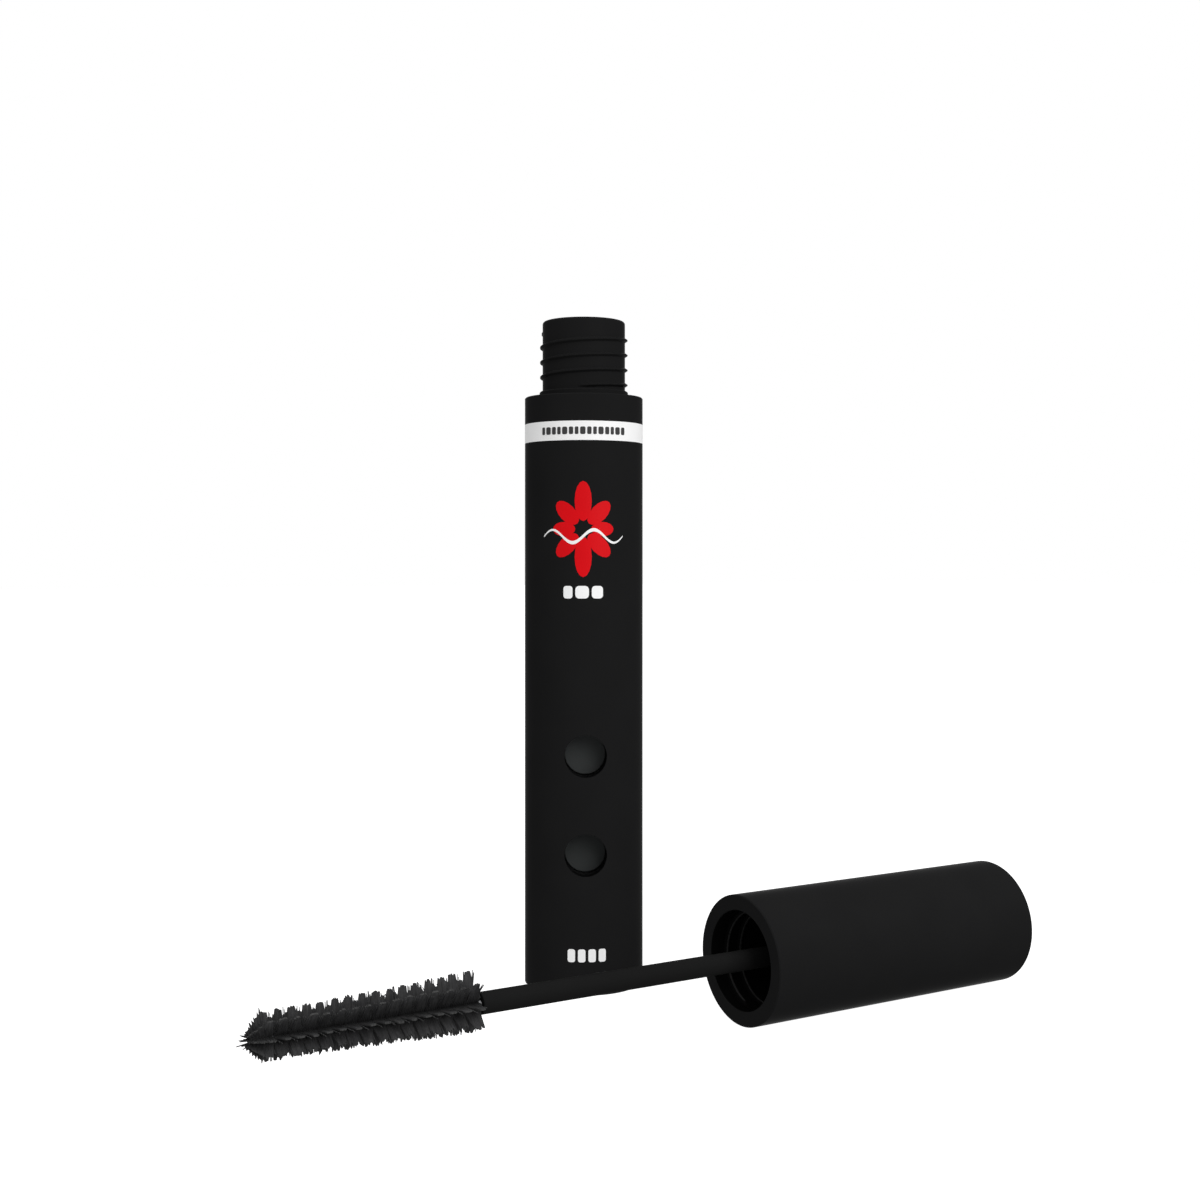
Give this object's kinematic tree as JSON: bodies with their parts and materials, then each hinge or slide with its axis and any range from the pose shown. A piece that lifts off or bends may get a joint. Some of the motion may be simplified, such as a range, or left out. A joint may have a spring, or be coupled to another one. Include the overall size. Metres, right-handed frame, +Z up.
{
  "type": "mascara tube",
  "caption": "Slim round mascara tube standing upright with a threaded neck and recessed round discs; its screw cap with wand and bristle brush lies in front.",
  "frame": {"origin": "centre of the tube's base, on the surface that the tube and the applicator both rest on", "axes": "+Z up along the tube's axis; +X along the lying applicator's axis, from brush to cap; -Y towards the applicator"},
  "size_m": [0.1115, 0.0471, 0.095],
  "materials": {
    "case_black": "satin soft-touch black",
    "bottle_black": "satin moulded black",
    "wiper_rubber": "dark translucent elastomer, matte",
    "disc_slate": "smooth dark slate, semi-gloss",
    "band_white": "smooth white printed film",
    "liner_black": "moulded black, satin",
    "seal_grey": "grey foam seal, matte",
    "wand_black": "smooth moulded black, semi-gloss",
    "wire_steel": "twisted stainless wire",
    "bristle_black": "black nylon fibre"
  },
  "bodies": {
    "tube": {"outer_sleeve": "case_black", "inner_bottle": "bottle_black", "wiper": "wiper_rubber", "base_plug": "case_black", "upper_disc": "disc_slate", "lower_disc": "disc_slate", "white_band": "band_white"},
    "seal": {"seal_washer": "seal_grey"},
    "applicator": {"cap_shell": "case_black", "cap_end_disc": "case_black", "cap_liner": "liner_black", "wand_stem": "wand_black", "brush_wire": "wire_steel", "bristles": "bristle_black"}
  },
  "joints": [
    {"name": "applicator_draw", "type": "slide", "parent": "tube", "child": "seal", "axis": [1, 0, 0], "range_m": [0, 0.078]},
    {"name": "cap_turn", "type": "hinge", "parent": "seal", "child": "applicator", "pos_m": [0.00554, -0.03014, 0.0085], "axis": [1, 0, 0], "continuous": true}
  ]
}
